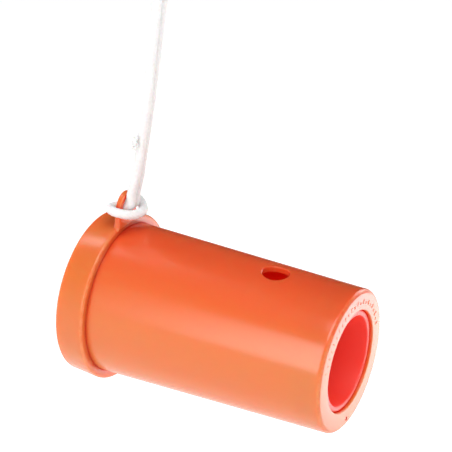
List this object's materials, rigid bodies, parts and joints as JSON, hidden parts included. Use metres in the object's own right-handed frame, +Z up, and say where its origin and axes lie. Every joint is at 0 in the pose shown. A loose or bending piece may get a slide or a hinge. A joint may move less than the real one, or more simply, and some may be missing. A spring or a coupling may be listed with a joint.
{
  "type": "rescue tube",
  "caption": "Short moulded rescue sounding tube: mouth-blown diaphragm horn with flanged end cap, blow hole and wrist lanyard.",
  "frame": {"origin": "where the lanyard's top loop hangs on whatever holds it", "axes": "+X along the tube towards its mouth, +Z up through the blow hole and the lanyard eye"},
  "size_m": [0.1254, 0.0764, 0.2142],
  "materials": {
    "orange_plastic": "satin gloss, slightly translucent moulded plastic",
    "inner_plastic": "satin gloss",
    "film": "smooth translucent film",
    "rubber": "matte",
    "cord": "soft braided cord"
  },
  "bodies": {
    "cap": {"end_cap": "orange_plastic", "clamp_ring": "inner_plastic", "diaphragm": "film", "seal_ring": "rubber", "lanyard_cord": "cord", "lanyard_hitch": "cord", "lanyard_knot": "cord"},
    "tube": {"body_tube": "orange_plastic", "horn_tube": "inner_plastic"}
  },
  "joints": [
    {"name": "body_pull_off", "type": "slide", "parent": "cap", "child": "tube", "axis": [1, 0, 0], "range_m": [0, 0.012]}
  ]
}
